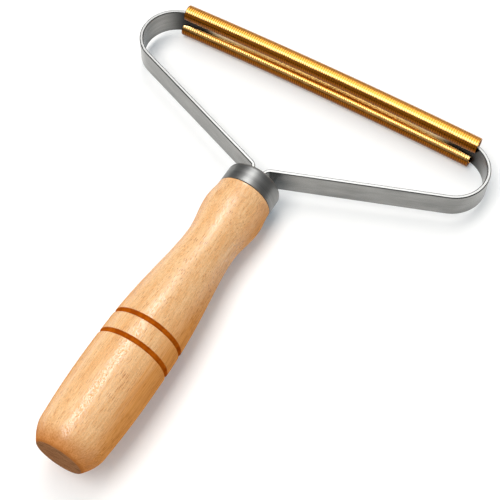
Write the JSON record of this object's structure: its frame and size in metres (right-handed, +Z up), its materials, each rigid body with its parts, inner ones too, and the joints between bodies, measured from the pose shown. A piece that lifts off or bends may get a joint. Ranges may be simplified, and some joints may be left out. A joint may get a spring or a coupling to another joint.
{
  "type": "pet hair lint remover",
  "caption": "Hand lint and pet hair remover: ribbed brass rolls on a triangular steel strap bow, with a steel ferrule and a turned wooden handle.",
  "frame": {"origin": "on the table under the middle of the tool as it lies", "axes": "+Y along the handle towards the brass head, +Z up from the table, +X across the head"},
  "size_m": [0.128, 0.1574, 0.0252],
  "materials": {
    "beech": "clear lacquer, burnt grooves",
    "ferrule_steel": "brushed round",
    "strap_steel": "satin faces, bright edges",
    "brass": "bright, fine ribs"
  },
  "bodies": {
    "root": {"handle": "beech", "ferrule": "ferrule_steel", "bow_strap": "strap_steel", "brass_roll_upper": "brass", "brass_roll_lower": "brass"}
  },
  "joints": []
}
